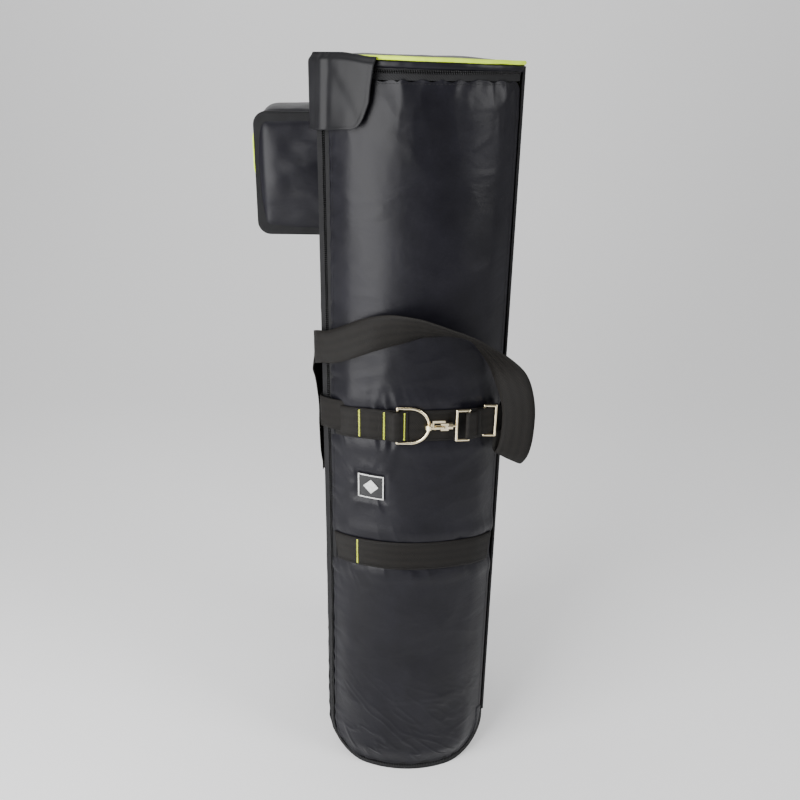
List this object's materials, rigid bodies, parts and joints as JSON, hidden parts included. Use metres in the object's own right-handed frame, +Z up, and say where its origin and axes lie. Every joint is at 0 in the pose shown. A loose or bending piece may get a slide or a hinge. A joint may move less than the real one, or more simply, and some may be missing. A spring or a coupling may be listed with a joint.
{
  "type": "padded tube case",
  "caption": "Tall padded soft case with a bowed zip-round front door, a box pocket on one side, webbing bands and a shoulder strap with a snap hook.",
  "frame": {"origin": "centre of the flat base, on the ground", "axes": "+Z up along the case, the bowed door faces -Y, the box pocket is at -X"},
  "size_m": [0.3228, 0.2491, 0.9149],
  "materials": {
    "nylon_black": "satin woven nylon",
    "padding": "closed cell foam sheet",
    "lining_lime": "plain brushed lining",
    "piping_lime": "corded piping",
    "piping_black": "corded piping",
    "zip_tape": "woven zip tape",
    "zip_coil": "nylon coil",
    "webbing": "twill webbing",
    "thread_lime": "dense bartack",
    "badge_dark": "satin",
    "badge_metal": "satin",
    "flap_vinyl": "smooth coated cloth",
    "ring_metal": "polished, pale gold",
    "slider_metal": "gloss enamel"
  },
  "bodies": {
    "case": {"back_cover": "nylon_black", "back_foam": "padding", "back_lining": "lining_lime", "gusset_left_cover": "nylon_black", "gusset_left_foam": "padding", "gusset_right_cover": "nylon_black", "gusset_right_foam": "padding", "base_cover": "nylon_black", "base_foam": "padding", "gusset_lining": "lining_lime", "lid_cover": "nylon_black", "lid_crown": "nylon_black", "lid_foam": "padding", "lid_lining": "lining_lime", "lid_piping": "piping_lime", "zip_tape_case": "zip_tape", "zip_coil_case": "zip_coil", "hinge_piping": "piping_black", "back_piping": "piping_black", "pocket_sleeve": "nylon_black", "pocket_front": "nylon_black", "pocket_back": "nylon_black", "pocket_foam": "padding", "pocket_lining": "lining_lime", "pocket_piping": "piping_lime"},
    "door": {"door_cover": "nylon_black", "door_foam": "padding", "door_lining": "lining_lime", "zip_tape_door": "zip_tape", "zip_coil_door": "zip_coil", "upper_band": "webbing", "lower_band": "webbing", "ring_keeper": "webbing", "bartacks": "thread_lime", "badge_plate": "badge_dark", "badge_rim": "badge_metal", "badge_emblem": "badge_metal", "flap_side": "flap_vinyl", "strap_anchor": "webbing", "strap_tail": "webbing", "strap_front": "webbing", "strap_loop": "webbing"},
    "flap": {"flap_front": "flap_vinyl", "flap_binding": "flap_vinyl"},
    "side_slider": {"side_slider": "slider_metal"},
    "side_pull": {"side_pull": "slider_metal"},
    "top_slider": {"top_slider": "slider_metal"},
    "top_pull": {"top_pull": "slider_metal"},
    "d_ring": {"d_ring": "ring_metal", "hook_eye": "ring_metal", "strap_end": "webbing"},
    "snap_hook": {"snap_hook": "ring_metal"},
    "snap_trigger": {"snap_trigger": "ring_metal"},
    "tri_glide": {"tri_glide": "ring_metal"}
  },
  "joints": [
    {"name": "door_hinge", "type": "hinge", "parent": "case", "child": "door", "pos_m": [0.107, -0.058, 0.45], "axis": [0, 0, 1], "range_deg": [0, 90]},
    {"name": "flap_fold", "type": "hinge", "parent": "door", "child": "flap", "pos_m": [-0.098, -0.08131, 0.875], "axis": [0, 0, -1], "range_deg": [0, 100]},
    {"name": "side_zip", "type": "slide", "parent": "door", "child": "side_slider", "axis": [0, 0, -1], "range_m": [0, 0.78]},
    {"name": "side_pull_hinge", "type": "hinge", "parent": "side_slider", "child": "side_pull", "pos_m": [-0.1016, -0.06868, 0.862], "axis": [-0.7184, 0.6956, 0], "range_deg": [0, 15]},
    {"name": "top_zip", "type": "hinge", "parent": "door", "child": "top_slider", "pos_m": [0, 0.03626, 0.90075], "axis": [0, 0, 1], "range_deg": [0, 73]},
    {"name": "top_pull_hinge", "type": "hinge", "parent": "top_slider", "child": "top_pull", "pos_m": [-0.07952, -0.08625, 0.90075], "axis": [0, 0, 1], "range_deg": [0, 15]},
    {"name": "ring_hinge", "type": "hinge", "parent": "door", "child": "d_ring", "pos_m": [-0.018, -0.1116, 0.5255], "axis": [0, 0, -1], "range_deg": [0, 15], "deforming": ["strap_loop"]},
    {"name": "hook_swivel", "type": "hinge", "parent": "d_ring", "child": "snap_hook", "pos_m": [0.0185, -0.1116, 0.5255], "axis": [0.9945, 0.1045, 0], "range_deg": [-6, 6]},
    {"name": "trigger_hinge", "type": "hinge", "parent": "snap_hook", "child": "snap_trigger", "pos_m": [0.03425, -0.11316, 0.5255], "axis": [0, 0, -1], "range_deg": [0, 6], "stiffness_Nm_per_rad": 0.02},
    {"name": "glide_slide", "type": "slide", "parent": "d_ring", "child": "tri_glide", "axis": [0.9135, 0.4067, 0], "range_m": [-0.003, 0.005]}
  ]
}
